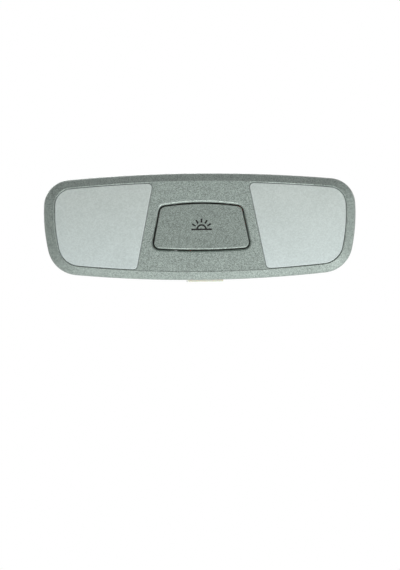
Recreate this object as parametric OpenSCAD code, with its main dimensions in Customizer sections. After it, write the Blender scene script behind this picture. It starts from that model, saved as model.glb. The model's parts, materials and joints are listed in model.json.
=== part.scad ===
// Car dome light: two lenses and a rocking push button in front, a staked lead-frame tray behind.
// Installed frame: +Z up to the roof, the lit face looks down, X along the lamp.
// The bezel's rear edge, which seats on the roof lining, lies in the plane z = 0.

/* [Bezel] */
// Length of the bezel along X
bezel_l = 208; // [202:1:216]
// Width of the bezel along Y
bezel_w = 71; // [70:0.5:74]
// Distance of the widest place from the middle, towards the hinge side
widest_y = 9.7; // [7:0.1:11]
// Bow radius of the long edge on the hinge side
hinge_bow_r = 1000; // [900:10:1400]
// Bow radius of the long edge on the plug side
plug_bow_r = 850; // [800:10:1200]
// Bow radius of both ends
end_bow_r = 116; // [100:1:140]
// Corner radius on the hinge side
hinge_corner_r = 17.5; // [16:0.5:19]
// Corner radius on the plug side
plug_corner_r = 20.5; // [19:0.5:22]
// Height of the upright outer edge
edge_h = 2.6; // [2:0.1:3.2]
// Depth of the rim's crest below the roof lining
rim_depth = 8.5; // [8:0.1:9.5]
// Width of the sloping rim
rim_w = 5.3; // [5:0.1:5.6]
// Width of the sloping rim at the ends
rim_end_w = 6.4; // [6:0.1:6.8]
// Step from the rim's crest up to the flat face
face_step = 0.4; // [0.2:0.1:0.8]
// Wall thickness of the bezel
bezel_t = 2.2; // [1.8:0.1:2.4]

/* [Lenses] */
// Distance of a lens's inner edge from the middle, on the centre line
lens_inner_x = 37.3; // [36:0.1:40]
// Lean of the inner edge in degrees
lens_lean = 11.2; // [8:0.1:13]
// Width of the bezel's land between the rim and a lens
lens_land = 0.6; // [0.4:0.1:0.9]
// Corner radius of a lens
lens_corner_r = 3; // [2:0.5:4]
// Gap round a lens
lens_gap = 0.25; // [0.15:0.05:0.4]
// Thickness of a lens's border behind the bezel
lens_border_t = 1.2; // [1:0.1:1.4]
// Width by which a lens's border reaches behind the bezel
lens_catch = 0.7; // [0.5:0.1:0.9]
// Width of the border inside a lens's outline
lens_border_w = 3.6; // [3:0.1:4.5]

/* [Button] */
// Width of the button at its hinged edge
button_hinge_w = 53.8; // [52:0.5:57]
// Width of the button at its pressed edge
button_press_w = 64.4; // [62:0.1:68]
// Distance of the button's hinged edge from the middle
button_hinge_y = 15.1; // [14:0.1:15.5]
// Distance of the button's pressed edge from the middle
button_press_y = 15.4; // [14:0.1:16]
// Bow of the hinged edge
button_hinge_bow = 2.2; // [1.5:0.1:2.6]
// Bow of the pressed edge
button_press_bow = 1.3; // [0.8:0.1:2]
// Corner radius of the button
button_corner_r = 3.6; // [3:0.1:4.2]
// Gap round the button
button_gap = 0.8; // [0.7:0.05:1.2]
// Width of the bevel round the button's opening
pocket_bevel = 1; // [0.6:0.1:1.2]
// Height by which the hinged edge lies behind the face
button_sunk = 1; // [0.8:0.1:1.2]
// Height by which the pressed edge stands proud of the face
button_proud = 2; // [1.6:0.1:2.2]
// Wall thickness of the button
button_t = 1.8; // [1.5:0.1:2]
// Depth of the button's skirt
skirt_h = 5.2; // [4.6:0.1:5.6]
// Distance of the hinge axis behind the button's hinged edge
pivot_back = 3.2; // [3:0.1:3.8]
// Radius of the hinge pins
pin_r = 1.25; // [1:0.05:1.4]
// Radial clearance of the hinge pins
pin_clear = 0.07; // [0.04:0.01:0.09]
// Distance of each hinge arm from the middle
arm_x = 18; // [14:0.5:20]
// Width of a hinge arm
arm_w = 3; // [2.4:0.1:3.6]

/* [Tray] */
// Distance of the tray's rim from the bezel's outline
tray_inset = 5.3; // [5.2:0.1:5.6]
// Wall thickness of the tray
wall_t = 1.6; // [1.4:0.1:1.8]
// Draft of the walls over their height
tray_draft = 2; // [1.6:0.1:2.2]
// Height of the tray's rim above the roof lining
rim_z = 16; // [15.6:0.1:18]
// Height of the floor plate's upper side
floor_z = 8; // [7.8:0.1:8.3]
// Thickness of the floor plate
floor_t = 2; // [1.8:0.1:2.2]
// Place of the floor plate's ends, in steps of the floor's grid from the middle
floor_end = 88.5; // [88:0.5:90]
// Place of a bulb, in steps of the floor's grid from the middle
bulb_place = 72; // [71:0.5:73]
// Distance of the bulbs' middle from the centre line, towards the hinge side
bulb_y = 1; // [0.5:0.1:1.5]
// Width of a bulb window
window_w = 21; // [20:0.5:22]
// Length of a bulb window
window_l = 21; // [20.5:0.5:21.5]
// Height of the window frame's end walls above the floor plate
frame_h = 5; // [4:0.5:6]

/* [Plug socket] */
// Distance of the socket from the middle
socket_x = 3.2; // [2.8:0.1:3.6]
// Width of the socket
socket_w = 23.8; // [23:0.1:24.6]
// Distance by which the socket stands past the bezel's edge
socket_out = 1.2; // [0.6:0.1:3]
// Wall thickness of the socket
socket_t = 1.5; // [1.2:0.1:1.8]
// Height of the socket's hollow
socket_h = 10.4; // [10:0.1:11]
// Spacing of the socket's pins
pin_pitch = 4.6; // [4.4:0.1:5]
// Width of the socket's pins
blade_w = 1.8; // [1.5:0.1:2]

/* [Lead frame] */
// Thickness of the stamped strips
strip_t = 0.6; // [0.5:0.05:0.7]
// Width of the narrow strips
strip_w = 2.2; // [1.8:0.1:2.4]
// Radius of a heat-staked post
stake_r = 0.9; // [0.8:0.05:1]
// Radius of a heat-staked head
head_r = 1.75; // [1.6:0.05:1.85]
// Height of a heat-staked head
head_h = 0.8; // [0.6:0.1:1]
// Clearance of a post in its strip
stake_clear = 0.12; // [0.08:0.02:0.2]

/* [Bulbs] */
// Radius of a bulb's end caps
cap_r = 2.6; // [2.4:0.05:2.7]
// Length of a bulb's glass between its caps
glass_l = 7.2; // [6.8:0.1:7.6]
// Length of a bulb over its caps
bulb_l = 19.4; // [18.8:0.1:19.8]
// Thickness of a bulb clip's sheet
clip_t = 0.45; // [0.35:0.05:0.5]
// Spacing of a bulb's two clips
clip_pitch = 9.2; // [9:0.1:9.6]

/* [Switch] */
// Distance of the plunger from the middle
plunger_x = 3; // [2:0.5:4]
// Radius of the plunger's stem
plunger_r = 2.4; // [2.2:0.1:2.5]
// Radial clearance of the plunger in its guide
plunger_clear = 0.07; // [0.04:0.01:0.09]
// Radius of the coil of the return spring
coil_r = 3.6; // [3.5:0.05:3.7]
// Radius of the spring's wire
wire_r = 0.2; // [0.15:0.01:0.22]
// Number of turns of the return spring
coil_turns = 4; // [3:1:4]

/* [Hidden] */
$fn = 48;

eps = 0.02;
over = 1;

// Levels
crest_z = -rim_depth;
face_z = crest_z + face_step;
inner_z = face_z + bezel_t;
lens_back_z = inner_z + lens_border_t;
under_z = floor_z - floor_t;
strip_top_z = floor_z + strip_t;
clip_top_z = strip_top_z + clip_t;
collar_z = 0.7;
stop_gap = 0.05;
flange_t = 1.2;
flange_z = collar_z + stop_gap;
bridge_z = flange_z + flange_t;
bridge_t = 0.4;
plunger_y = -1;
press_angle = 4;
contact_gap = 0.2;

// Outline of the bezel, as arcs that meet without a corner
half_l = bezel_l / 2;
half_w = bezel_w / 2;

// Grid of the tray's floor: the lead frame, stakes and slots are placed by its steps, from wall to wall
grid_steps_x = 96.1;
grid_steps_y = 27.6;
tray_edge = tray_inset + wall_t + tray_draft / 2;
grid_x = (half_l - tray_edge) / grid_steps_x;
grid_y = (half_w - tray_edge) / grid_steps_y;
function at(p) = [p.x * grid_x, p.y * grid_y];
function spots(points) = [for (p = points) at(p)];
floor_x = floor_end * grid_x;
bulb_x = bulb_place * grid_x;

hinge_bow_c = [0, hinge_bow_r - half_w];
plug_bow_c = [0, half_w - plug_bow_r];
end_bow_c = [half_l - end_bow_r, -widest_y];

function meet(c1, d1, c2, d2, side) =
    let (v = c2 - c1, d = norm(v), along = (d1 * d1 - d2 * d2 + d * d) / (2 * d))
    c1 + (along * v + side * sqrt(d1 * d1 - along * along) * [-v.y, v.x]) / d;

hinge_corner_c = meet(hinge_bow_c, hinge_bow_r - hinge_corner_r, end_bow_c, end_bow_r - hinge_corner_r, 1);
plug_corner_c = meet(plug_bow_c, plug_bow_r - plug_corner_r, end_bow_c, end_bow_r - plug_corner_r, -1);

function direction(v) = atan2(v.y, v.x);
hinge_bow_end = direction(hinge_corner_c - hinge_bow_c);
hinge_corner_end = direction(hinge_corner_c - end_bow_c);
plug_corner_start = direction(plug_corner_c - end_bow_c);
plug_bow_start = direction(plug_corner_c - plug_bow_c);

long_steps = 8;
corner_steps = 10;
end_steps = 6;

function arc(c, r, from, to, n) =
    [for (i = [0:n - 1]) let (a = from + (to - from) * i / n) c + r * [cos(a), sin(a)]];
function right_half(inset) = concat(
    arc(hinge_bow_c, hinge_bow_r - inset, -90, hinge_bow_end, long_steps),
    arc(hinge_corner_c, hinge_corner_r - inset, hinge_bow_end, hinge_corner_end, corner_steps),
    arc(end_bow_c, end_bow_r - inset, hinge_corner_end, plug_corner_start, end_steps),
    arc(plug_corner_c, plug_corner_r - inset, plug_corner_start, plug_bow_start, corner_steps),
    arc(plug_bow_c, plug_bow_r - inset, plug_bow_start, 90, long_steps));
function outline(inset) =
    let (half = right_half(inset))
    concat(half, [[0, half_w - inset]], [for (i = [len(half) - 1:-1:1]) [-half[i].x, half[i].y]]);

module plan(inset) {
    polygon(outline(inset));
}

module layer(z, t) {
    translate([0, 0, z]) linear_extrude(t) children();
}

// A body that follows the outline through rings of [inset, z], from the lowest up.
// Its lowest ring can be shorter.
module loft(rings, low_share = 1) {
    n = len(outline(0));
    points = [for (k = [0:len(rings) - 1]) for (p = outline(rings[k][0]))
        [p.x * (k == 0 ? low_share : 1), p.y, rings[k][1]]];
    sides = [for (k = [0:len(rings) - 2]) for (i = [0:n - 1])
        let (j = (i + 1) % n, near = k * n, far = near + n)
        for (face = [[near + i, far + i, far + j], [near + i, far + j, near + j]]) face];
    low_cap = [for (i = [0:n - 1]) i];
    high_cap = [for (i = [n - 1:-1:0]) (len(rings) - 1) * n + i];
    polyhedron(points, concat(sides, [low_cap, high_cap]));
}

// A strip of constant width along a path, with mitred bends
function unit(v) = v / norm(v);
function left_of(v) = let (u = unit(v)) [-u.y, u.x];
function side_at(p, i) =
    let (last = len(p) - 1,
        before = i == 0 ? left_of(p[1] - p[0]) : left_of(p[i] - p[i - 1]),
        after = i == last ? before : left_of(p[i + 1] - p[i]),
        m = unit(before + after))
    m / (m * before);
function band(p, w) = concat(
    [for (i = [0:len(p) - 1]) p[i] + side_at(p, i) * w / 2],
    [for (i = [len(p) - 1:-1:0]) p[i] - side_at(p, i) * w / 2]);

module box(low, high) {
    translate(low) cube(high - low);
}

module disc(p, r, z, h) {
    translate([p.x, p.y, z]) cylinder(r = r, h = h);
}

// Bezel
shoulder_in = 0.4;
shoulder_drop = 1.1;
shoulder_in_2 = 1.3;
shoulder_drop_2 = 2.1;
cavity_inset = rim_w - 0.75;
crest_share = (half_l - rim_end_w) / (half_l - rim_w);
hook_l = 8;
tab_l = 12;
hook_t = 0.7;
hook_in = 1.2;
hook_root = 0.6;
tab_reach = 0.5;
tab_t = 1.2;
hook_low_z = -1;
tab_play = 0.1;
hinge_tabs = [for (x = [-64, -26, 26, 64]) x * grid_x];
plug_tabs = [for (x = [-66, -30, 34, 66]) x * grid_x];

module crest_plan(inset) {
    polygon([for (p = outline(rim_w + inset)) [p.x * crest_share, p.y]]);
}

module lens_plan(grow) {
    tall = bezel_w;
    run = tall * tan(lens_lean);
    offset(r = lens_corner_r + grow, $fn = 40)
        offset(delta = -lens_corner_r)
            intersection() {
                crest_plan(lens_land);
                polygon([[lens_inner_x - run, -tall], [bezel_l, -tall],
                    [bezel_l, tall], [lens_inner_x + run, tall]]);
            }
}

button_steps = 8;
button_hinge_edge = [for (i = [-button_steps:button_steps]) let (t = i / button_steps)
    [t * button_hinge_w / 2, -button_hinge_y + button_hinge_bow * t * t]];
button_press_edge = [for (i = [button_steps:-1:-button_steps]) let (t = i / button_steps)
    [t * button_press_w / 2, button_press_y - button_press_bow * t * t]];

module button_plan(grow) {
    offset(r = button_corner_r + grow, $fn = 40)
        offset(delta = -button_corner_r)
            polygon(concat(button_hinge_edge, button_press_edge));
}

pivot_y = -button_hinge_y - pivot_back;
pivot_r = 2.1;
arm_clear = 0.3;
pivot_z = inner_z + arm_clear + pivot_r;
ear_gap = 0.35;
ear_t = 3;
ear_back = 2.6;
pin_l = ear_gap + ear_t + 0.3;
bevel_over = 0.3;

module ears() {
    for (side = [-1, 1])
        translate([side * (arm_x + arm_w / 2 + ear_gap + ear_t / 2), pivot_y, 0])
            difference() {
                translate([0, 0, (inner_z - over + pivot_z + ear_back) / 2])
                    cube([ear_t, 2 * ear_back, pivot_z + ear_back - inner_z + over], center = true);
                translate([-ear_t, 0, pivot_z])
                    rotate([0, 90, 0])
                        cylinder(r = pin_r + pin_clear, h = 2 * ear_t);
            }
}

module rim_pieces(low_z, high_z, outer, inner, hinge_side, plug_side, l) {
    intersection() {
        layer(low_z, high_z - low_z) difference() {
            plan(outer);
            plan(inner);
        }
        union() {
            for (x = hinge_side)
                box([x - l / 2, -half_w, low_z - over], [x + l / 2, 0, high_z + over]);
            for (x = plug_side)
                box([x - l / 2, 0, low_z - over], [x + l / 2, half_w, high_z + over]);
        }
    }
}

module bezel() {
    color("#7f8a84") {
        difference() {
            loft([[rim_w, crest_z],
                [shoulder_in_2, -edge_h - shoulder_drop_2],
                [shoulder_in, -edge_h - shoulder_drop],
                [0, -edge_h],
                [0, 0]], crest_share);
            loft([[cavity_inset, inner_z], [bezel_t, -edge_h], [bezel_t, over]]);
            layer(crest_z - over, over + face_step) crest_plan(0);
            for (side = [0, 1])
                mirror([side, 0, 0])
                    layer(face_z - over, bezel_t + 2 * over) lens_plan(0);
            layer(face_z - over, bezel_t + 2 * over) button_plan(button_gap);
            hull() {
                layer(face_z - bevel_over, eps) button_plan(button_gap + pocket_bevel + bevel_over);
                layer(face_z + pocket_bevel + bevel_over, eps) button_plan(button_gap - bevel_over);
            }
        }
        ears();
        rim_pieces(hook_low_z, hook_low_z + hook_t, bezel_t - hook_root, bezel_t + hook_in,
            hinge_tabs, plug_tabs, hook_l);
    }
}

// Lenses
module lens() {
    color("#dfe6e3") {
        layer(face_z, inner_z - face_z + eps) lens_plan(-lens_gap);
        layer(inner_z, lens_border_t) difference() {
            lens_plan(lens_catch);
            lens_plan(-lens_border_w);
        }
    }
}

module left_lens() {
    mirror([1, 0, 0]) lens();
}

module right_lens() {
    lens();
}

// Lead frame: places of the heat stakes, shared by the strips and the tray
window_edge = window_l / 2 * grid_y;
clip_stake_y = window_edge + 4.9 * grid_y;
feed_y = 18.9;
earth_lane_y = 21.6;
earth_end_y = 18.6;
door_lane_y = 25.4;
door_end_y = 22.2;
contact_w = 14.4;
contact_l = 9 * grid_y;

left_feed_stakes = concat([[-bulb_x, clip_stake_y - bulb_y]], spots([[-28.4, 23.2], [-5.6, 18]]));
loop_stakes = spots([[-10.2, 10.6], [-0.2, 10.6], [12.6, 10.6], [-25, -11.2],
    [-15.2, -16.4], [3.2, -16.4], [11.4, -12.2], [32.6, -17.4]]);
right_plate_stakes = spots([[12.2, 18], [30.6, 23.4], [32.2, 12.6], [26, 8.4], [48.2, -0.6], [44.5, -12.2]]);
right_feed_stakes = concat([[bulb_x, clip_stake_y - bulb_y]], spots([[58.6, 22.4]]));
earth_stakes = concat([[-bulb_x, -clip_stake_y - bulb_y], [bulb_x, -clip_stake_y - bulb_y]],
    spots([[-31.2, -earth_lane_y], [22.4, -earth_lane_y]]));
door_stakes = spots([[-86.6, -20.9], [-56.6, -23.7], [-6, -25.2],
    [28.4, -24.9], [58.8, -22.9], [86.6, -20.9]]);
clip_stakes = [left_feed_stakes[0], right_feed_stakes[0], earth_stakes[0], earth_stakes[1]];
strip_stakes = concat(
    [left_feed_stakes[1], left_feed_stakes[2]],
    loop_stakes,
    right_plate_stakes,
    [right_feed_stakes[1]],
    [earth_stakes[2], earth_stakes[3]],
    door_stakes);

pad_r = head_r + 0.15;
pin_xs = [socket_x - pin_pitch, socket_x, socket_x + pin_pitch];
socket_y0 = 20 * grid_y;
socket_mouth_y = half_w + socket_out;
blade_y = socket_mouth_y - 3.4;

module strip(color_name, stakes) {
    color(color_name)
        difference() {
            union() {
                children();
                for (p = stakes)
                    disc(p, pad_r, floor_z, strip_t);
            }
            for (p = stakes)
                disc(p, stake_r + stake_clear, floor_z - over, strip_t + 2 * over);
        }
}

module sheet(points) {
    layer(floor_z, strip_t) polygon(spots(points));
}

module blade(i, from_y) {
    box([pin_xs[i] - blade_w / 2, from_y * grid_y, floor_z], [pin_xs[i] + blade_w / 2, blade_y, strip_top_z]);
}

module contact_plate(side, y) {
    box([side * bulb_x - contact_w / 2, y - contact_l / 2, floor_z],
        [side * bulb_x + contact_w / 2, y + contact_l / 2, strip_top_z]);
}

zinc = "#a9b0ab";
feed_contact_y = clip_stake_y - bulb_y + 1.5;
earth_contact_y = -clip_stake_y - bulb_y;
strip_end = floor_end - 1.5;

module left_feed_strip() {
    strip(zinc, left_feed_stakes) {
        sheet(band([[-strip_end, feed_y], [-34, feed_y]], 3));
        contact_plate(-1, feed_contact_y);
        sheet([[-34.5, 17.4], [-34.5, 23], [-32.5, 25.8], [-12, 25.8], [-9.4, 23.2], [-9.4, 20],
            [pin_xs[0] + blade_w / 2, 20], [pin_xs[0] + blade_w / 2, 16.2], [-14, 16.2], [-16, 17.4]]);
        sheet([[-37.6, 20.4], [-31.6, 20.4], [-31.6, 3], [-33, 1.4], [-36.2, 1.4], [-37.6, 3]]);
        blade(0, 18);
    }
}

tongue_w = 2.5;
foot_z = bridge_z + bridge_t + (plunger_y - pivot_y) * sin(press_angle) + contact_gap;
foot_t = 0.5;
drop_y = 6.9 * grid_y;
left_tongue = -18.6;
left_tongue_x = left_tongue * grid_x;
right_tongue_x = 18.65 * grid_x;
plate_edge_y = 5.2 * grid_y;
foot_y = -2.6;

loop_c = [-18, 4];
loop_r = 7;

module switch_loop_strip() {
    strip(zinc, loop_stakes) {
        sheet([[loop_c.x, 7.9], [loop_c.x, 14], [1.6, 14], [17, 14], [17, 7.9]]);
        sheet(band(concat([[loop_c.x + 1, loop_c.y + loop_r]],
            [for (a = [90:15:180]) loop_c + loop_r * [cos(a), sin(a)]],
            [[loop_c.x - loop_r, -10]]), 4.2));
        difference() {
            sheet([[-27.1, -9], [-27.1, -13.6], [-21.6, -19], [33.4, -19], [35.4, -17],
                [35.4, -16.4], [14.2, -16.4], [14.2, -9.6], [10, -8.6], [-19.5, -8.6]]);
            for (p = spots([[-15, -11.9], [-6.2, -11.9], [2.4, -11.9]]))
                translate([p.x, p.y, floor_z])
                    cube([3.6, 1, 2 * strip_t + over], center = true);
        }
        blade(1, 12);
        box([left_tongue_x - tongue_w / 2, drop_y, floor_z],
            [left_tongue_x + tongue_w / 2, drop_y + 1.3, strip_top_z]);
        box([left_tongue_x - tongue_w / 2, drop_y, foot_z],
            [left_tongue_x + tongue_w / 2, drop_y + strip_t, strip_top_z]);
        box([left_tongue_x - tongue_w / 2, foot_y, foot_z],
            [left_tongue_x + tongue_w / 2, drop_y + strip_t, foot_z + foot_t]);
    }
}

rib_r = 1.8;
rib_gap = 0.3;
rib_x = 38.2 * grid_x;
rib_y = 19 * grid_y;
rib_bend_r = 5.6;
rib_bend_c = [rib_x - rib_bend_r, rib_y - rib_bend_r];
rib_low_y = -1;
rib_left_x = 24.6 * grid_x;
rib_path = concat([[rib_x, rib_low_y], [rib_x, rib_bend_c.y]],
    [for (a = [15:15:75]) rib_bend_c + rib_bend_r * [cos(a), sin(a)]],
    [[rib_bend_c.x, rib_y], [rib_left_x, rib_y]]);

module right_switch_plate() {
    strip(zinc, right_plate_stakes) {
        difference() {
            sheet([[16.6, 15], [16.6, 16.2], [pin_xs[2] - blade_w / 2, 16.2], [pin_xs[2] - blade_w / 2, 20],
                [16.6, 20], [16.6, 25.6], [42.6, 25.6], [43.4, 24.8], [43.4, 16.5], [51.6, 16.5],
                [51.6, -5], [47.6, -9], [47.6, -15.2], [41.4, -15.2], [41.4, -9], [36, -4],
                [30, 5.2], [22.4, 5.2], [22.4, 15]]);
            layer(floor_z - over, strip_t + 2 * over) polygon(band(rib_path, 2 * (rib_r + rib_gap)));
            for (end = [[rib_x, rib_low_y], [rib_left_x, rib_y]])
                disc(end, rib_r + rib_gap, floor_z - over, strip_t + 2 * over);
        }
        blade(2, 18);
        box([right_tongue_x + tongue_w / 2 - strip_t, plate_edge_y, floor_z],
            [23 * grid_x, drop_y + strip_t, strip_top_z]);
        box([right_tongue_x + tongue_w / 2 - strip_t, plate_edge_y, foot_z],
            [right_tongue_x + tongue_w / 2, drop_y + strip_t, strip_top_z]);
        box([right_tongue_x - tongue_w / 2, foot_y, foot_z],
            [right_tongue_x + tongue_w / 2, drop_y + strip_t, foot_z + foot_t]);
    }
}

module right_feed_strip() {
    strip(zinc, right_feed_stakes) {
        sheet(band([[58, feed_y], [strip_end, feed_y]], 3));
        contact_plate(1, feed_contact_y);
        sheet([[46.6, 18.4], [46.6, 23.4], [48, 24.6], [60.6, 24.6], [60.6, 17.4], [47.6, 17.4]]);
    }
}

earth_path = [[-bulb_place, -earth_end_y], [-41, -earth_end_y], [-37, -earth_lane_y], [-13, -earth_lane_y],
    [-10, -earth_lane_y + 1], [-2, -earth_lane_y + 1], [1, -earth_lane_y], [37, -earth_lane_y],
    [42, -earth_end_y], [bulb_place, -earth_end_y]];
door_half = [[12, -door_lane_y], [52, -door_lane_y + 0.9], [61, -door_end_y - 0.6],
    [82, -door_end_y], [86.6, -20.9]];
door_path = concat([for (i = [len(door_half) - 1:-1:0]) [-door_half[i].x, door_half[i].y]], door_half);

module earth_strip() {
    strip(zinc, earth_stakes) {
        sheet(band(earth_path, strip_w));
        for (side = [-1, 1])
            contact_plate(side, earth_contact_y + 0.9);
    }
}

module door_strip() {
    strip(zinc, door_stakes) {
        sheet(band(door_path, strip_w));
    }
}

// Bulb clips: a staked plate, two legs that drop into the window, and a bar with two jaws
clip_w = 15.2;
leg_w = 1.6;
bar_w = 3.2;
bar_x = 16.8;
bar_z = 6.1;
bulb_axis_z = bar_z + clip_t + cap_r + 0.05;
jaw_gap = 0.12;
jaw_h = 3.4;

module clip() {
    bar_y = clip_pitch * grid_y / 2;
    plate_end = clip_stake_y + 2.6;
    leg_top = window_edge - 0.5;
    leg_low = leg_top - 1.8;
    color("#c9c2a6")
        difference() {
            union() {
                box([-clip_w / 2, window_edge + 1, strip_top_z], [clip_w / 2, plate_end, clip_top_z]);
                for (side = [-1, 1])
                    translate([side * (clip_w - leg_w) / 2 + leg_w / 2, 0, 0])
                        rotate([0, -90, 0])
                            linear_extrude(leg_w)
                                polygon([[strip_top_z, window_edge + 1 + eps], [strip_top_z, leg_top],
                                    [bar_z, leg_low], [bar_z, bar_y], [bar_z + clip_t, bar_y],
                                    [bar_z + clip_t, leg_low - 0.2], [clip_top_z, leg_top - 0.2],
                                    [clip_top_z, window_edge + 1 + eps]]);
                box([-bar_x / 2, bar_y - bar_w / 2, bar_z], [bar_x / 2, bar_y + bar_w / 2, bar_z + clip_t]);
                for (side = [-1, 1])
                    translate([side * (cap_r + jaw_gap + clip_t / 2), bar_y, bar_z + jaw_h / 2])
                        cube([clip_t, bar_w, jaw_h], center = true);
            }
            disc([0, clip_stake_y], stake_r + stake_clear, strip_top_z - over, clip_t + 2 * over);
        }
}

module placed_clip(side, turn) {
    translate([side * bulb_x, -bulb_y, 0])
        rotate([0, 0, turn])
            clip();
}

module left_feed_clip() {
    placed_clip(-1, 0);
}

module left_earth_clip() {
    placed_clip(-1, 180);
}

module right_feed_clip() {
    placed_clip(1, 0);
}

module right_earth_clip() {
    placed_clip(1, 180);
}

// Bulbs: a drawn glass tube in two pressed end caps, with a coiled filament
glass_t = 0.4;
glass_r = cap_r - 0.25;
belly_r = cap_r + 0.3;
glass_in = 1.2;
tube_l = glass_l * grid_y;
whole_l = bulb_l * grid_y;
cap_cyl = (whole_l - tube_l) / 2 - 2.2;
cap_tip_r = 0.8;
cap_t = 0.2;

module on_bulb(side) {
    translate([side * bulb_x, -bulb_y, bulb_axis_z])
        rotate([-90, 0, 0])
            children();
}

module bulb_glass() {
    half = tube_l / 2;
    neck = half - 1.2;
    color("#e8f0ee", 0.4)
        rotate_extrude()
            polygon([[glass_r, -half - glass_in], [glass_r, -half], [belly_r, -neck],
                [belly_r, neck], [glass_r, half], [glass_r, half + glass_in],
                [glass_r - glass_t, half + glass_in], [glass_r - glass_t, half],
                [belly_r - glass_t, neck], [belly_r - glass_t, -neck],
                [glass_r - glass_t, -half], [glass_r - glass_t, -half - glass_in]]);
}

module bulb_cap() {
    start = tube_l / 2 + 0.1;
    color("#c8ccca")
        rotate_extrude()
            polygon([[cap_r - cap_t, start], [cap_r, start], [cap_r, start + cap_cyl],
                [cap_tip_r, whole_l / 2 - 0.3], [cap_tip_r - 0.3, whole_l / 2], [0, whole_l / 2],
                [0, start + cap_cyl - 3 * cap_t], [cap_r - 3 * cap_t, start + cap_cyl - 3 * cap_t],
                [cap_r - cap_t, start + glass_in + 3 * cap_t]]);
}

filament_r = 0.16;
post_y = tube_l / 2 - 1;

module bulb_filament() {
    end = tube_l / 2 + cap_cyl - 0.5;
    color("#8c8f8d") {
        translate([0, 0, -post_y]) cylinder(r = filament_r, h = 2 * post_y, $fn = 16);
        for (side = [-1, 1])
            translate([0, 0, side * (post_y + end) / 2])
                cylinder(r = 2 * filament_r, h = end - post_y, center = true, $fn = 16);
    }
}

module left_bulb_glass() {
    on_bulb(-1) bulb_glass();
}

module left_bulb_feed_cap() {
    on_bulb(-1) bulb_cap();
}

module left_bulb_earth_cap() {
    on_bulb(-1) mirror([0, 0, 1]) bulb_cap();
}

module left_bulb_filament() {
    on_bulb(-1) bulb_filament();
}

module right_bulb_glass() {
    on_bulb(1) bulb_glass();
}

module right_bulb_feed_cap() {
    on_bulb(1) bulb_cap();
}

module right_bulb_earth_cap() {
    on_bulb(1) mirror([0, 0, 1]) bulb_cap();
}

module right_bulb_filament() {
    on_bulb(1) bulb_filament();
}

// Switch: a tray under the floor plate, a sprung plunger and the bridge that it carries
base_x = 23.5;
base_low_y = -8.5;
base_high_y = 9.5;
base_t = 1.7;
base_z = -2.5;
base_floor_t = 1.5;
collar_r = 4.3;
pilot_r = 1.9;
pilot_clear = 0.1;
bridge_l = 39;
bridge_w = 4.4;
tip_z = -4.4;
nub_gap = 0.3;

module switch_base() {
    color("#2a2c2c")
        difference() {
            union() {
                difference() {
                    box([-base_x, base_low_y, base_z], [base_x, base_high_y, under_z]);
                    box([-base_x + base_t, base_low_y + base_t, base_z + base_floor_t],
                        [base_x - base_t, base_high_y - base_t, under_z + over]);
                }
                disc([plunger_x, plunger_y], collar_r, base_z, collar_z - base_z);
            }
            disc([plunger_x, plunger_y], plunger_r + plunger_clear,
                base_z - over, collar_z - base_z + 2 * over);
        }
}

module plunger() {
    color("#3a3c3c") {
        disc([plunger_x, plunger_y], plunger_r, tip_z, flange_z - tip_z + eps);
        disc([plunger_x, plunger_y], collar_r - 0.1, flange_z, flange_t);
        disc([plunger_x, plunger_y], pilot_r, flange_z, flange_t + 2);
    }
}

module contact_bridge() {
    color("#b9965a")
        difference() {
            union() {
                box([-bridge_l / 2, plunger_y - bridge_w / 2, bridge_z],
                    [bridge_l / 2, plunger_y + bridge_w / 2, bridge_z + bridge_t]);
                disc([plunger_x, plunger_y], collar_r - 0.1, bridge_z, bridge_t);
            }
            disc([plunger_x, plunger_y], pilot_r + pilot_clear, bridge_z - over, bridge_t + 2 * over);
        }
}

coil_low_z = bridge_z + bridge_t + wire_r + eps;
coil_high_z = under_z - wire_r - eps;
coil_steps = 18;
wire_sides = 6;
coil_rings = coil_turns * coil_steps;

module return_spring() {
    points = [for (k = [0:coil_rings]) for (i = [0:wire_sides - 1])
        let (a = 360 * k / coil_steps, w = 360 * i / wire_sides, r = coil_r + wire_r * cos(w))
        [r * cos(a), r * sin(a), coil_low_z + (coil_high_z - coil_low_z) * k / coil_rings + wire_r * sin(w)]];
    sides = [for (k = [0:coil_rings - 1]) for (i = [0:wire_sides - 1]) let (j = (i + 1) % wire_sides)
        [k * wire_sides + i, k * wire_sides + j, (k + 1) * wire_sides + j, (k + 1) * wire_sides + i]];
    first_cap = [for (i = [wire_sides - 1:-1:0]) i];
    last_cap = [for (i = [0:wire_sides - 1]) coil_rings * wire_sides + i];
    color("#9aa0a0")
        translate([plunger_x, plunger_y, 0])
            polyhedron(points, concat(sides, [first_cap, last_cap]));
}

// Button
button_tilt = atan((button_sunk + button_proud) / (button_hinge_y + button_press_y));
nub_r = 2.6;
arm_low = 0.2;
arm_high = 0.4;
arm_end_y = -button_hinge_y + button_hinge_bow + button_t + arm_high;

module switch_button() {
    back_z = face_z + button_sunk;
    nub_root_z = back_z + button_t / 2 - (plunger_y + button_hinge_y) * tan(button_tilt);
    color("#757f7a") {
        translate([0, -button_hinge_y, back_z])
            rotate([-button_tilt, 0, 0])
                translate([0, button_hinge_y, 0]) {
                    layer(0, button_t) button_plan(0);
                    layer(0, skirt_h) difference() {
                        button_plan(0);
                        button_plan(-button_t);
                    }
                }
        disc([plunger_x, plunger_y], nub_r, nub_root_z, tip_z - nub_gap - nub_root_z);
        for (side = [-1, 1])
            translate([side * arm_x, pivot_y, pivot_z])
                rotate([0, 90, 0]) {
                    cylinder(r = pivot_r, h = arm_w, center = true);
                    translate([0, 0, side * (arm_w / 2 + pin_l / 2 - eps)])
                        cylinder(r = pin_r, h = pin_l + 2 * eps, center = true);
                }
        for (side = [-1, 1])
            box([side * arm_x - arm_w / 2, pivot_y, pivot_z - pivot_r + arm_low],
                [side * arm_x + arm_w / 2, arm_end_y, pivot_z + arm_high]);
    }
}

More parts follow.
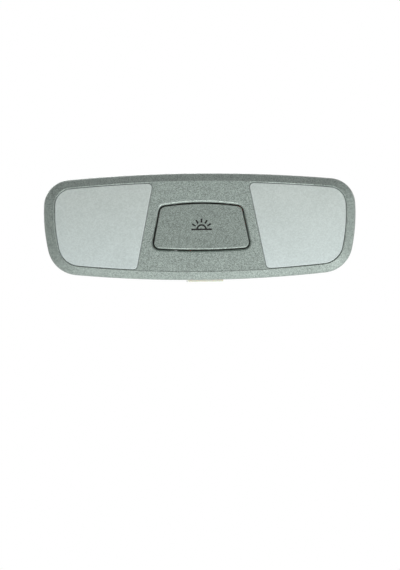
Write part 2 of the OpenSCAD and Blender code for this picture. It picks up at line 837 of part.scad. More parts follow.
// Housing
base_low_z = lens_back_z;
function draft_at(z) = tray_draft * (rim_z - z) / (rim_z - base_low_z);
draft_over = tray_draft * over / (rim_z - base_low_z);
function wall_mid(z) = tray_inset + wall_t / 2 + draft_at(z);
pocket_z = -2.5;
pocket_t = 1.5;
frame_t = 1.5;
part_t = 1.5;
cell_r = 3.2;
socket_low_z = 2.5;
socket_high_z = socket_low_z + socket_h + 2 * socket_t;
socket_back_y = half_w - 4.5;
key_w = 5.6;
key_l = 4.4;
key_in = 1.4;

module stake(p, level) {
    disc(p, stake_r, floor_z - eps, level - floor_z + 2 * eps);
    disc(p, head_r, level, head_h * 0.6);
    translate([p.x, p.y, level + head_h * 0.6 - eps])
        cylinder(r1 = head_r, r2 = head_r * 0.6, h = head_h * 0.4);
}

module floor_plate() {
    intersection() {
        layer(under_z, floor_t) plan(wall_mid(floor_z));
        box([-floor_x, -half_w, under_z - over], [floor_x, half_w, floor_z + over]);
    }
    difference() {
        layer(pocket_z, pocket_t) plan(wall_mid(pocket_z));
        box([-floor_x + frame_t, -half_w, pocket_z - over],
            [floor_x - frame_t, half_w, pocket_z + pocket_t + over]);
    }
    intersection() {
        layer(pocket_z, floor_z - pocket_z) plan(wall_mid(pocket_z));
        union()
            for (side = [-1, 1])
                translate([side * (floor_x - frame_t / 2), 0, (pocket_z + floor_z) / 2])
                    cube([frame_t, bezel_w, floor_z - pocket_z + 2 * over], center = true);
    }
}

module partitions() {
    lean = tan(lens_lean);
    reach = half_w - wall_mid(0);
    for (side = [0, 1])
        mirror([side, 0, 0])
            layer(lens_back_z, under_z - lens_back_z + eps)
                intersection() {
                    plan(wall_mid(lens_back_z));
                    polygon([[lens_inner_x - reach * lean, -reach],
                        [lens_inner_x - reach * lean + part_t, -reach],
                        [lens_inner_x + reach * lean + part_t, reach],
                        [lens_inner_x + reach * lean, reach]]);
                }
}

module socket_block() {
    box([socket_x - socket_w / 2, socket_y0 - socket_t, socket_low_z],
        [socket_x + socket_w / 2, socket_mouth_y, socket_high_z]);
}

module socket_cuts() {
    x0 = socket_x - socket_w / 2 + socket_t;
    x1 = socket_x + socket_w / 2 - socket_t;
    z0 = socket_low_z + socket_t;
    box([x0, socket_y0, z0], [x1, socket_mouth_y + over, z0 + socket_h]);
    box([x0 + 2.4, socket_y0 - socket_t - over, floor_z], [x1 - 2.4, socket_back_y, socket_high_z + over]);
    box([x0 - socket_t - over, socket_y0 - socket_t - over, floor_z],
        [x1 + socket_t + over, socket_y0 + 1, socket_high_z + over]);
    box([socket_x - key_w / 2, socket_back_y + key_in, z0 + socket_h - over],
        [socket_x + key_w / 2, socket_back_y + key_in + key_l, socket_high_z + over]);
}

module ramp(x0, x1, y0, y1, h0, h1) {
    translate([0, y1 * grid_y, 0])
        rotate([90, 0, 0])
            linear_extrude((y1 - y0) * grid_y)
                polygon([[x0 * grid_x, floor_z - eps], [x1 * grid_x, floor_z - eps],
                    [x1 * grid_x, floor_z + h1], [x0 * grid_x, floor_z + h0]]);
}

module guide_rib() {
    layer(floor_z - eps, rib_r + eps) polygon(band(rib_path, 2 * rib_r));
    translate([rib_x, rib_low_y, floor_z + rib_r])
        rotate([-90, 0, 0])
            cylinder(r = rib_r, h = rib_bend_c.y - rib_low_y);
    translate([rib_bend_c.x, rib_bend_c.y, floor_z + rib_r])
        rotate_extrude(angle = 90)
            translate([rib_bend_r, 0])
                circle(r = rib_r);
    translate([rib_left_x, rib_y, floor_z + rib_r])
        rotate([0, 90, 0])
            cylinder(r = rib_r, h = rib_bend_c.x - rib_left_x);
}

arch_path = spots([[-25.6, -17.6], [-29.8, -11], [-29.8, 6], [-27.6, 10.8], [-23.6, 14.6], [-18, 15.8]]);
arch_h = 1.7;
recess = 0.9;
floor_slots = [[-82, 15.2, 4.4, 3.4], [-62, 15.2, 4.4, 3.4], [62, 15.2, 4.4, 3.4], [82, 15.2, 4.4, 3.4],
    [-70, 22.6, 22, 2.6], [72, 22.2, 18, 2.4], [49.6, 14.6, 2, 0.6],
    [-82, -17.4, 4.4, 2.6], [82, -17.4, 4.4, 2.6],
    [left_tongue, 5.4, 5.2, 5], [-20, -2.9, 3.5, 5.8], [8.8, 2.1, 3.9, 5.4], [17.9, 5.4, 5.2, 5],
    [19, -2.2, 3.5, 5.8], [-16.4, 16.5, 2, 2.2], [1.8, 5.6, 2.4, 2.2], [-28.2, 4.8, 2.4, 2]];

module housing() {
    color("#e9ebe4") {
        difference() {
            union() {
                difference() {
                    loft([[tray_inset + tray_draft, base_low_z], [tray_inset, rim_z]]);
                    loft([[tray_inset + tray_draft + wall_t + draft_over, base_low_z - over],
                        [tray_inset + wall_t - draft_over, rim_z + over]]);
                }
                floor_plate();
                partitions();
                socket_block();
                guide_rib();
                layer(floor_z - eps, arch_h) polygon(band(arch_path, 1.2));
                for (side = [-1, 1])
                    box([side * (floor_x - frame_t / 2) - frame_t / 2, -17 * grid_y, floor_z - eps],
                        [side * (floor_x - frame_t / 2) + frame_t / 2, 14.4 * grid_y, floor_z + frame_h]);
                ramp(52.6, 60.4, -14, 15.6, 0.6, 3.6);
                ramp(82.6, floor_end - frame_t + eps, -13, 12.4, 0.8, 3.6);
                ramp(-floor_end + frame_t - eps, -82.6, -13, 12.4, 3.6, 0.8);
                rim_pieces(hook_low_z - tab_play - tab_t, hook_low_z - tab_play,
                    bezel_t + tab_reach, wall_mid(hook_low_z), hinge_tabs, plug_tabs, tab_l);
            }
            for (side = [-1, 1])
                translate([side * bulb_x, -bulb_y, floor_z])
                    cube([window_w, 2 * window_edge, 2 * floor_t + over], center = true);
            for (s = floor_slots)
                translate([s[0] * grid_x, s[1] * grid_y, floor_z])
                    cube([s[2], s[3], 2 * floor_t + over], center = true);
            disc([plunger_x, plunger_y], cell_r, under_z - over, floor_t + 2 * over);
            box([15 * grid_x, -16.2 * grid_y, floor_z - recess],
                [40.6 * grid_x, -9.8 * grid_y, floor_z + over]);
            socket_cuts();
        }
        for (p = strip_stakes)
            stake(p, strip_top_z);
        for (p = clip_stakes)
            stake(p, clip_top_z);
    }
}

bezel();
left_lens();
right_lens();
housing();
left_feed_strip();
switch_loop_strip();
right_switch_plate();
right_feed_strip();
earth_strip();
door_strip();
left_feed_clip();
left_earth_clip();
right_feed_clip();
right_earth_clip();
left_bulb_glass();
left_bulb_feed_cap();
left_bulb_earth_cap();
left_bulb_filament();
right_bulb_glass();
right_bulb_feed_cap();
right_bulb_earth_cap();
right_bulb_filament();
switch_base();
contact_bridge();
plunger();
return_spring();
switch_button();
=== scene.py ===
import json
import math

import bmesh
import bpy
import numpy as np
from mathutils import Matrix, Vector, geometry
from mathutils.bvhtree import BVHTree


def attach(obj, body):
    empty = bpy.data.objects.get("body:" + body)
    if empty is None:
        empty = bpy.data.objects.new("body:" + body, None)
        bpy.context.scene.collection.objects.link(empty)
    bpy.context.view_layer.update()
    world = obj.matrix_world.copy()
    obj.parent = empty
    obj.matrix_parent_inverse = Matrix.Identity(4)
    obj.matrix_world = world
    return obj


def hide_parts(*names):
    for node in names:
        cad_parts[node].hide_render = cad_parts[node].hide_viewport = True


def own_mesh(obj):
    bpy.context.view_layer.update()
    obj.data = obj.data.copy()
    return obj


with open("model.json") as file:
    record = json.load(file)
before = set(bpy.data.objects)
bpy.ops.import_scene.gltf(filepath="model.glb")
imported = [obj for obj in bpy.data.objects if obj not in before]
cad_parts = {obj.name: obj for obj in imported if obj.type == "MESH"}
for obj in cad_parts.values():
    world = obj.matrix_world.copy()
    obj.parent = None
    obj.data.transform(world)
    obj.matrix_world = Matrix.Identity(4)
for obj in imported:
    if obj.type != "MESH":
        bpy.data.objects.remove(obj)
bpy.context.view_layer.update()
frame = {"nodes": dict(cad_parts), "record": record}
cadNodes = frame["nodes"]
mm = 0.001
white = (1, 1, 1, 1)


# Small helpers for node trees

def addNode(tree, kind, place, inputs=None, **settings):
    # Each input is a value or another node's output
    node = tree.nodes.new(kind)
    node.location = place
    for name, value in settings.items():
        setattr(node, name, value)
    for name, value in (inputs or {}).items():
        if hasattr(value, "is_output"):
            tree.links.new(value, node.inputs[name])
        else:
            node.inputs[name].default_value = value
    return node


def addMath(tree, operation, place, first, second, clamp=False):
    node = addNode(tree, "ShaderNodeMath", place, {0: first, 1: second}, operation=operation, use_clamp=clamp)
    return node.outputs[0]


def addMix(tree, place, factor, first, second):
    node = addNode(tree, "ShaderNodeMix", place, {0: factor, 6: first, 7: second}, data_type="RGBA")
    return node.outputs[2]


def addNoise(tree, place, vector, scale, detail, roughness=0.55):
    node = addNode(tree, "ShaderNodeTexNoise", place,
                   {"Vector": vector, "Scale": scale, "Detail": detail, "Roughness": roughness})
    return node.outputs["Fac"]


def addRange(tree, place, value, given, wanted=(0.0, 1.0)):
    # Turns the span that is given into the span that is wanted
    node = addNode(tree, "ShaderNodeMapRange", place,
                   {0: value, 1: given[0], 2: given[1], 3: wanted[0], 4: wanted[1]})
    return node.outputs[0]


def addScale(tree, place, vector, factor):
    node = addNode(tree, "ShaderNodeVectorMath", place, {0: vector, "Scale": factor}, operation="SCALE")
    return node.outputs[0]


def newGroup(name, inputs, outputs):
    group = bpy.data.node_groups.new(name, "ShaderNodeTree")
    for label, kind, value in inputs:
        group.interface.new_socket(name=label, in_out="INPUT", socket_type=kind).default_value = value
    for label, kind in outputs:
        group.interface.new_socket(name=label, in_out="OUTPUT", socket_type=kind)
    start = addNode(group, "NodeGroupInput", (-1200, 0))
    end = addNode(group, "NodeGroupOutput", (600, 0))
    return group, start.outputs, end.inputs


def millimetres(tree, place):
    coordinates = addNode(tree, "ShaderNodeTexCoord", place)
    return addScale(tree, (place[0] + 180, place[1]), coordinates.outputs["Object"], 1 / mm)


number, colour = "NodeSocketFloat", "NodeSocketColor"


def makeSpeckle():
    # Fine flake or pigment: each grain a little lighter or darker than the next
    group, given, result = newGroup(
        "speckle",
        [("Colour", colour, (0.5, 0.5, 0.5, 1)), ("Grain", number, 0.5), ("Contrast", number, 0.2),
         ("Patch", number, 30.0), ("Patch Contrast", number, 0.05)],
        [("Colour", colour), ("Height", number)])
    place = millimetres(group, (-1000, 300))
    grains = addMath(group, "DIVIDE", (-800, 100), 1.0, given["Grain"])
    fine = addNode(group, "ShaderNodeTexVoronoi", (-600, 300), {"Vector": place, "Scale": grains})
    tone = addNode(group, "ShaderNodeSeparateColor", (-400, 300), {0: fine.outputs["Color"]})
    patches = addMath(group, "DIVIDE", (-800, -100), 1.0, given["Patch"])
    broad = addNoise(group, (-600, 0), place, patches, detail=2.0, roughness=0.5)
    centredFine = addMath(group, "SUBTRACT", (-200, 300), tone.outputs[0], 0.5)
    centredBroad = addMath(group, "SUBTRACT", (-200, 0), broad, 0.5)
    fineShare = addMath(group, "MULTIPLY", (-50, 300), centredFine, given["Contrast"])
    broadShare = addMath(group, "MULTIPLY", (-50, 0), centredBroad, given["Patch Contrast"])
    total = addMath(group, "ADD", (100, 200), addMath(group, "ADD", (50, 100), fineShare, broadShare), 1.0)
    group.links.new(addScale(group, (300, 200), given["Colour"], total), result["Colour"])
    group.links.new(tone.outputs[0], result["Height"])
    return group


def makeEdgeWearAndHighlight():
    # A mask that is 1 along outer edges, broken up in patches: edge wear, and on the bezel, button and tray a
    # painted highlight
    group, given, result = newGroup(
        "worn edge", [("Width", number, 0.4), ("Amount", number, 1.0)], [("Mask", number)])
    place = millimetres(group, (-1000, -300))
    reach = addMath(group, "MULTIPLY", (-900, 100), given["Width"], mm)
    rounded = addNode(group, "ShaderNodeBevel", (-700, 200), {"Radius": reach}, samples=6)
    surface = addNode(group, "ShaderNodeNewGeometry", (-900, 400))
    turned = addNode(group, "ShaderNodeVectorMath", (-500, 300),
                     {0: rounded.outputs[0], 1: surface.outputs["Normal"]}, operation="DOT_PRODUCT")
    edge = addRange(group, (-300, 300), turned.outputs["Value"], given=(0.995, 0.9))
    patchy = addNoise(group, (-500, 0), place, 0.35, detail=5.0)
    breaks = addRange(group, (-300, 0), patchy, given=(0.35, 0.65))
    wearAndHighlight = addMath(group, "MULTIPLY", (-100, 200), edge, breaks)
    mask = addMath(group, "MULTIPLY", (100, 200), wearAndHighlight, given["Amount"], clamp=True)
    group.links.new(mask, result["Mask"])
    return group


def makePaintedRecessShade():
    # A painted shade mask that grows where a surface is shut in by its neighbours
    group, given, result = newGroup(
        "painted recess shade", [("Reach", number, 5.0), ("Amount", number, 1.0)], [("Mask", number)])
    reach = addMath(group, "MULTIPLY", (-700, 100), given["Reach"], mm)
    shut = addNode(group, "ShaderNodeAmbientOcclusion", (-500, 200), {"Distance": reach}, samples=6)
    depth = addRange(group, (-300, 200), shut.outputs["AO"], given=(0.95, 0.2))
    mask = addMath(group, "MULTIPLY", (-50, 200), depth, given["Amount"], clamp=True)
    group.links.new(mask, result["Mask"])
    return group


def makeMouldGrain():
    # Spark-eroded mould texture with faint flow waves under it
    group, given, result = newGroup(
        "mould grain", [("Grain", number, 0.3), ("Flow", number, 0.3)], [("Height", number)])
    place = millimetres(group, (-1000, 0))
    grains = addMath(group, "DIVIDE", (-800, 200), 1.0, given["Grain"])
    fine = addNoise(group, (-600, 200), place, grains, detail=4.0, roughness=0.65)
    waves = addNoise(group, (-600, -100), place, 0.06, detail=2.0)
    share = addMath(group, "MULTIPLY", (-300, -100), waves, given["Flow"])
    group.links.new(addMath(group, "ADD", (-100, 100), fine, share), result["Height"])
    return group


def makeRolledSheet():
    # Rolling lines along X with a mottled plating tone over them
    group, given, result = newGroup(
        "rolled sheet",
        [("Colour", colour, (0.6, 0.6, 0.6, 1)), ("Contrast", number, 0.3), ("Turn", number, 0.0)],
        [("Colour", colour), ("Roughness", number), ("Height", number)])
    place = millimetres(group, (-1200, 200))
    turn = addNode(group, "ShaderNodeVectorRotate", (-1000, 300),
                   {"Vector": place, "Angle": given["Turn"]}, rotation_type="Z_AXIS")
    stretch = addNode(group, "ShaderNodeVectorMath", (-850, 300),
                      {0: turn.outputs[0], 1: (0.12, 4.0, 4.0)}, operation="MULTIPLY")
    lines = addNoise(group, (-650, 300), stretch.outputs[0], 1.0, detail=4.0)
    mottle = addNoise(group, (-650, 0), place, 0.28, detail=4.0, roughness=0.6)
    lineShare = addMath(group, "SUBTRACT", (-450, 300), lines, 0.5)
    mottleShare = addMath(group, "SUBTRACT", (-450, 0), mottle, 0.5)
    both = addMath(group, "ADD", (-300, 200), lineShare, mottleShare)
    varied = addMath(group, "MULTIPLY", (-150, 200), both, given["Contrast"])
    tone = addMath(group, "ADD", (-50, 200), varied, 1.0)
    group.links.new(addScale(group, (150, 200), given["Colour"], tone), result["Colour"])
    roughness = addRange(group, (-200, -100), mottle, given=(0.3, 0.7), wanted=(0.28, 0.5))
    group.links.new(roughness, result["Roughness"])
    group.links.new(lines, result["Height"])
    return group


speckle = makeSpeckle()
edgeWearAndHighlight = makeEdgeWearAndHighlight()
recessShadeGroup = makePaintedRecessShade()
mouldGrain = makeMouldGrain()
rolledSheet = makeRolledSheet()
print("effect groups ready")


# Materials: the steps that they share

def newMaterial(name, shaderInputs):
    material = bpy.data.materials.new(name)
    material.use_nodes = True
    tree = material.node_tree
    shader = tree.nodes["Principled BSDF"]
    for key, value in shaderInputs.items():
        shader.inputs[key].default_value = value
    return material, tree, shader


def placeGroup(tree, group, place, inputs):
    return addNode(tree, "ShaderNodeGroup", place, inputs, node_tree=group).outputs


def addSpeckle(tree, look, bodyColour):
    return placeGroup(tree, speckle, (-1100, 300), {"Colour": bodyColour, **look["speckle"]})


def paintEdgeWearAndHighlight(tree, look, bodyColour):
    # Mixes the edge colour in: edge wear, and on the bezel, button and tray a painted highlight
    wearAndHighlight = placeGroup(tree, edgeWearAndHighlight, (-900, 0), look["edge"])
    return addMix(tree, (-500, 300), wearAndHighlight["Mask"], bodyColour, look["edgeColour"])


def paintShadeInRecesses(tree, look, bodyColour):
    # Mixes painted shade into recesses and corners
    shut = placeGroup(tree, recessShadeGroup, (-900, -200), look["recess"])
    return addMix(tree, (-700, 300), shut["Mask"], bodyColour, look["recessShadeColour"])


def addRoughness(tree, shader, pattern, look):
    roughness = addRange(tree, (-500, 0), pattern, given=look["span"], wanted=look["roughness"])
    tree.links.new(roughness, shader.inputs["Roughness"])


def addBump(tree, shader, height, look):
    bump = addNode(tree, "ShaderNodeBump", (-300, -400),
                   {"Height": height, "Strength": look["bump"], "Distance": look["bumpDepth"] * mm})
    tree.links.new(bump.outputs[0], shader.inputs["Normal"])


def grainSurface(tree, shader, look):
    grain = placeGroup(tree, mouldGrain, (-900, -400), look["grain"])
    addRoughness(tree, shader, grain["Height"], look)
    addBump(tree, shader, grain["Height"], look)


# Materials: bezel and button paint

bezelLook = {
    "shader": {"Metallic": 0.35, "Coat Weight": 0.15, "Coat Roughness": 0.3},
    "colour": (0.253, 0.299, 0.275, 1),
    "speckle": {"Grain": 0.33, "Contrast": 1.1, "Patch": 45.0, "Patch Contrast": 0.08},
    # The paler edge colour is a painted highlight along the rims and lens lips
    "edge": {"Width": 0.45, "Amount": 0.35}, "edgeColour": (0.5, 0.54, 0.51, 1),
    "smearScale": 0.05, "span": (0.3, 0.7), "roughness": (0.35, 0.46), "bump": 0.3, "bumpDepth": 0.02}
# The button's pale edges are a painted highlight along its rounded rim
buttonLook = dict(bezelLook, colour=(0.226, 0.268, 0.245, 1), edge={"Width": 0.45, "Amount": 0.8},
                  edgeColour=(0.72, 0.76, 0.73, 1))


def satinPaint(name, look):
    # Metallic paint on plastic: flake, a thin clear top and paler edges that are a painted highlight
    material, tree, shader = newMaterial(name, look["shader"])
    flake = addSpeckle(tree, look, look["colour"])
    tree.links.new(paintEdgeWearAndHighlight(tree, look, flake["Colour"]), shader.inputs["Base Color"])
    smears = addNoise(tree, (-900, -500), millimetres(tree, (-1300, -500)), look["smearScale"], detail=3.0)
    addRoughness(tree, shader, smears, look)
    addBump(tree, shader, flake["Height"], look)
    return material


# Materials: bare plastic behind the paint, also used as painted shade behind the lenses

insideLook = {
    "shader": {"Specular IOR Level": 0.3},
    "colour": (0.018, 0.017, 0.016, 1), "hazeColour": (0.035, 0.034, 0.032, 1),
    "hazeScale": 0.12, "hazeSpan": (0.45, 0.75), "grain": {"Grain": 0.4, "Flow": 0.4},
    "span": (0.4, 0.9), "roughness": (0.5, 0.75), "bump": 0.4, "bumpDepth": 0.05}


def darkInside(name, look):
    # Dark plastic with a paler haze of overspray in patches
    material, tree, shader = newMaterial(name, look["shader"])
    cloud = addNoise(tree, (-900, 200), millimetres(tree, (-1300, 200)), look["hazeScale"], detail=4.0)
    haze = addRange(tree, (-700, 200), cloud, given=look["hazeSpan"])
    tree.links.new(addMix(tree, (-500, 300), haze, look["colour"], look["hazeColour"]),
                   shader.inputs["Base Color"])
    grainSurface(tree, shader, look)
    return material


# Materials: lenses. The span of Y over which the painted light grows towards the plug side is in millimetres

lensLook = {
    "shader": {"Specular IOR Level": 0.35, "Subsurface Weight": 0.25, "Subsurface Scale": 0.004,
               "Subsurface Radius": (1.0, 1.0, 1.0)},
    "colour": (0.438, 0.487, 0.467, 1), "plugSideLitColour": (0.47, 0.533, 0.525, 1), "litSpan": (-20.0, 32.0),
    "speckle": {"Grain": 0.7, "Contrast": 0.16, "Patch": 14.0, "Patch Contrast": 0.1},
    "edge": {"Width": 1.2, "Amount": 0.6}, "edgeColour": (0.42, 0.51, 0.53, 1),
    "grain": {"Grain": 0.25, "Flow": 0.2},
    "span": (0.3, 0.9), "roughness": (0.42, 0.6), "bump": 0.25, "bumpDepth": 0.02}


def frostedLens(name, look):
    # Frosted diffuser: milky body, painted paler and bluer towards the plug side where the light comes from,
    # fine etched surface
    material, tree, shader = newMaterial(name, look["shader"])
    place = addNode(tree, "ShaderNodeSeparateXYZ", (-1500, 400), {0: millimetres(tree, (-1900, 400))})
    # Painted light: the body gets paler towards the plug side
    litShare = addRange(tree, (-1300, 400), place.outputs["Y"], given=look["litSpan"])
    withPaintedShading = addMix(tree, (-1200, 400), litShare, look["colour"], look["plugSideLitColour"])
    body = addSpeckle(tree, look, withPaintedShading)
    tree.links.new(paintEdgeWearAndHighlight(tree, look, body["Colour"]), shader.inputs["Base Color"])
    grainSurface(tree, shader, look)
    return material


# Materials: tray

trayLook = {
    "shader": {"Specular IOR Level": 0.45, "Subsurface Weight": 0.12, "Subsurface Scale": 0.002},
    "colour": (0.65, 0.69, 0.61, 1),
    "speckle": {"Grain": 1.1, "Contrast": 0.03, "Patch": 18.0, "Patch Contrast": 0.1},
    # Recesses get painted shade in warm brown; the pale edges are a painted highlight
    "recess": {"Reach": 9.0, "Amount": 0.85}, "recessShadeColour": (0.37, 0.30, 0.18, 1),
    "edge": {"Width": 0.4, "Amount": 0.6}, "edgeColour": (0.85, 0.87, 0.83, 1),
    "grain": {"Grain": 0.5, "Flow": 0.6},
    "span": (0.4, 1.1), "roughness": (0.3, 0.5), "bump": 0.35, "bumpDepth": 0.04}
# The dial's dark colour is painted shade of its marks
dialShadeLook = dict(trayLook, colour=(0.22, 0.21, 0.17, 1), edgeColour=(0.3, 0.29, 0.25, 1))


def mouldedTray(name, look):
    # Ivory plastic with painted shade, warm and brownish, where the walls shut it in, and pale edges painted
    # as highlight
    material, tree, shader = newMaterial(name, look["shader"])
    body = addSpeckle(tree, look, look["colour"])
    withPaintedShading = paintShadeInRecesses(tree, look, body["Colour"])
    tree.links.new(paintEdgeWearAndHighlight(tree, look, withPaintedShading), shader.inputs["Base Color"])
    grainSurface(tree, shader, look)
    return material


# Materials: strips, clips, caps and wires

acrossX = math.pi / 2
stripLook = {
    "shader": {"Metallic": 0.75},
    "colour": (0.36, 0.375, 0.35, 1), "sheet": {"Contrast": 0.6, "Turn": 0.0},
    "edge": {"Width": 0.25, "Amount": 0.9}, "edgeColour": (0.7, 0.72, 0.68, 1),
    # Darker corners are painted shade
    "recess": {"Reach": 1.5, "Amount": 0.55}, "recessShadeColour": (0.13, 0.125, 0.11, 1),
    "bump": 0.3, "bumpDepth": 0.02}
clipLook = dict(stripLook, shader={"Metallic": 0.8}, colour=(0.55, 0.51, 0.38, 1),
                sheet={"Contrast": 0.5, "Turn": acrossX},
                edgeColour=(0.8, 0.77, 0.65, 1), recessShadeColour=(0.2, 0.16, 0.09, 1))
capLook = dict(stripLook, shader={"Metallic": 0.9}, colour=(0.7, 0.72, 0.71, 1),
               sheet={"Contrast": 0.35, "Turn": acrossX},
               edgeColour=(0.9, 0.9, 0.88, 1), recessShadeColour=(0.25, 0.24, 0.21, 1))
filamentLook = dict(capLook, colour=(0.35, 0.35, 0.36, 1))
bridgeLook = dict(clipLook, colour=(0.6, 0.42, 0.17, 1))
springLook = dict(capLook, colour=(0.5, 0.51, 0.5, 1))


def stampedSheet(name, look):
    # Rolled and plated sheet metal, brighter on its sheared edges, with painted shade dulling its corners
    material, tree, shader = newMaterial(name, look["shader"])
    sheet = placeGroup(tree, rolledSheet, (-1100, 300), {"Colour": look["colour"], **look["sheet"]})
    bright = paintEdgeWearAndHighlight(tree, look, sheet["Colour"])
    tree.links.new(paintShadeInRecesses(tree, look, bright), shader.inputs["Base Color"])
    tree.links.new(sheet["Roughness"], shader.inputs["Roughness"])
    addBump(tree, shader, sheet["Height"], look)
    return material


# Materials: bulb glass

glassLook = {
    "shader": {"Base Color": (0.95, 0.98, 0.97, 1), "Transmission Weight": 1.0, "IOR": 1.47, "Metallic": 0.0},
    "rippleScale": 0.3, "span": (0.35, 0.7), "roughness": (0.01, 0.07), "bump": 0.3, "bumpDepth": 0.06}


def clearBulb(name, look):
    # Clear blown glass with faint ripples
    material, tree, shader = newMaterial(name, look["shader"])
    ripples = addNoise(tree, (-600, 0), millimetres(tree, (-1000, 0)), look["rippleScale"], detail=2.0)
    addRoughness(tree, shader, ripples, look)
    addBump(tree, shader, ripples, look)
    return material


# Materials: switch plastic and the button's print

blackLook = {
    "shader": {"Specular IOR Level": 0.4},
    "colour": (0.02, 0.02, 0.021, 1),
    "speckle": {"Grain": 0.8, "Contrast": 0.3, "Patch": 9.0, "Patch Contrast": 0.4},
    "edge": {"Width": 0.3, "Amount": 0.7}, "edgeColour": (0.09, 0.09, 0.09, 1),
    "grain": {"Grain": 0.35, "Flow": 0.3},
    "span": (0.3, 0.9), "roughness": (0.35, 0.6), "bump": 0.4, "bumpDepth": 0.03}
inkLook = {
    "shader": {"Specular IOR Level": 0.3},
    "colour": (0.012, 0.012, 0.012, 1),
    "speckle": {"Grain": 0.35, "Contrast": 0.9, "Patch": 4.0, "Patch Contrast": 0.5},
    "span": (0.0, 1.0), "roughness": (0.45, 0.7), "bump": 0.3, "bumpDepth": 0.01}


def blackMoulding(name, look):
    # Black switch plastic with a greyish bloom on its edges
    material, tree, shader = newMaterial(name, look["shader"])
    body = addSpeckle(tree, look, look["colour"])
    tree.links.new(paintEdgeWearAndHighlight(tree, look, body["Colour"]), shader.inputs["Base Color"])
    grainSurface(tree, shader, look)
    return material


def printedMark(name, look):
    # Dark pad print with a coarse, uneven tone
    material, tree, shader = newMaterial(name, look["shader"])
    ink = addSpeckle(tree, look, look["colour"])
    tree.links.new(ink["Colour"], shader.inputs["Base Color"])
    addRoughness(tree, shader, ink["Height"], look)
    addBump(tree, shader, ink["Height"], look)
    return material


finishes = {
    "bezel_paint": satinPaint("satin bezel paint", bezelLook),
    "button_paint": satinPaint("satin button paint", buttonLook),
    "lens_frosted": frostedLens("frosted lens", lensLook),
    "housing_plastic": mouldedTray("ivory tray plastic", trayLook),
    "strip_metal": stampedSheet("stamped zinc strip", stripLook),
    "clip_metal": stampedSheet("tinned bronze clip", clipLook),
    "cap_metal": stampedSheet("pressed bulb cap", capLook),
    "bulb_glass": clearBulb("clear bulb glass", glassLook),
    "filament_metal": stampedSheet("filament wire", filamentLook),
    "switch_black": blackMoulding("black switch plastic", blackLook),
    "bridge_metal": stampedSheet("stamped brass bridge", bridgeLook),
    "spring_metal": stampedSheet("spring wire", springLook),
}
insideAndShadeFinish = darkInside("bare dark plastic and painted shade", insideLook)
dialShadeFinish = mouldedTray("date dial painted shade", dialShadeLook)
inkFinish = printedMark("pad printed mark", inkLook)
print("finishes ready")


# Pieces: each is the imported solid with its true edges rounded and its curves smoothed

slotOf = {part["node"]: part["material_slot"] for part in frame["record"]["subparts"]}
bodyOf = {node: body for body, members in frame["record"]["behaviour"]["bodies"].items() for node in members}

# Shared by all pieces, where a piece's own steps and merge come first. The second line is in
# degrees, the third in widths of the rounding, and the last holds a cosine and two shares of an edge.
rounding = {
    "steps": 2, "merge": 0.002, "tries": 5,
    "flat": 0.2, "sharpFrom": 28.0, "smoothTo": 32.0,
    "shortest": 0.3, "room": 2.1, "nearby": 1.5,
    "straight": 0.9, "pastEnd": 0.2, "touching": 1e-4}


def cleanCopy(node, merge):
    made = bmesh.new()
    made.from_mesh(cadNodes[node].data)
    bmesh.ops.remove_doubles(made, verts=made.verts, dist=merge * mm)
    bmesh.ops.dissolve_limit(made, angle_limit=math.radians(rounding["flat"]), verts=made.verts,
                             edges=made.edges)
    return made


def hasRoom(edge, width):
    # No short edge leaves either end at an angle
    along = (edge.verts[1].co - edge.verts[0].co).normalized()
    for vert in edge.verts:
        for other in vert.link_edges:
            step = other.verts[1].co - other.verts[0].co
            isShort = step.length < rounding["room"] * width
            if other is not edge and isShort and abs(step.normalized().dot(along)) < rounding["straight"]:
                return False
    return True


def isNear(spot, edge, width):
    closest, share = geometry.intersect_point_line(spot, edge.verts[0].co, edge.verts[1].co)
    past = rounding["pastEnd"]
    return (closest - spot).length < rounding["nearby"] * width and -past < share < 1 + past


def crossings(face):
    # Places where the outline of a face runs over itself
    normal = face.normal
    drop = max(range(3), key=lambda axis: abs(normal[axis]))
    keep = [axis for axis in range(3) if axis != drop]
    corners = np.array([vert.co for vert in face.verts]) / mm
    flat = corners[:, keep]
    run = np.roll(flat, -1, 0) - flat
    gap = flat[None, :, :] - flat[:, None, :]
    turn = run[:, None, 0] * run[None, :, 1] - run[:, None, 1] * run[None, :, 0]
    turn = np.where(np.abs(turn) < 1e-12, np.inf, turn)  # side by side edges never cross
    first = (gap[..., 0] * run[None, :, 1] - gap[..., 1] * run[None, :, 0]) / turn
    second = (gap[..., 0] * run[:, None, 1] - gap[..., 1] * run[:, None, 0]) / turn
    low, high = rounding["touching"], 1 - rounding["touching"]
    hit = (first > low) & (first < high) & (second > low) & (second < high)
    rows = np.nonzero(np.triu(hit, 2))[0]
    return [Vector(corners[row] * mm) for row in rows]


def roundEdges(node, look):
    # Edges whose rounding would run into another one are left sharp
    width = look["edge"] * mm
    tight = []
    for attempt in range(look["tries"]):
        made = cleanCopy(node, look["merge"])
        chosen = []
        for edge in made.edges:
            if len(edge.link_faces) != 2 or edge.calc_face_angle(0.0) < math.radians(look["sharpFrom"]):
                continue
            isTight = any(isNear(spot, edge, width) for spot in tight)
            if not isTight and edge.calc_length() > look["shortest"] * width and hasRoom(edge, width):
                chosen.append(edge)
        if chosen:
            bmesh.ops.bevel(made, geom=chosen, offset=width, offset_type="OFFSET", segments=look["steps"],
                            profile=0.5, affect="EDGES", clamp_overlap=False)
        found = [spot for face in made.faces if len(face.verts) > 4 for spot in crossings(face)]
        if not found or attempt == look["tries"] - 1:
            return made
        tight += found
        made.free()


